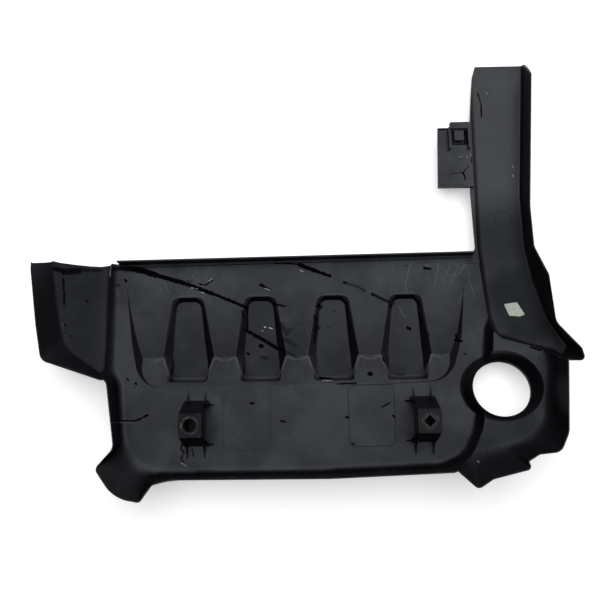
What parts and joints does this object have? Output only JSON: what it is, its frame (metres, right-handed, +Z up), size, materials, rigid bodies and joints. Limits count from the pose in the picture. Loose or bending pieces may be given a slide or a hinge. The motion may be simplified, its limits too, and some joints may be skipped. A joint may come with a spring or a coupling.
{
  "type": "engine cover",
  "caption": "Moulded plastic engine cover, open underside up: skirts, side arm, wing, pocketed recess, filler opening and rubber push-on sockets.",
  "frame": {"origin": "centre of the bounding box, on the plane that the show side rests on", "axes": "+X along the long side towards the arm, +Y across towards the arm's tip, +Z up, out of the open underside"},
  "size_m": [0.5863, 0.494, 0.078],
  "materials": {
    "black_plastic": "moulded black plastic with a soft sheen, dusty and scratched",
    "socket_rubber": "grey-black rubber with pale scuffs",
    "pale_sticker": "bare pale green sticker"
  },
  "bodies": {
    "root": {"cover": "black_plastic", "left_socket": "socket_rubber", "right_socket": "socket_rubber", "sticker": "pale_sticker"}
  },
  "joints": []
}
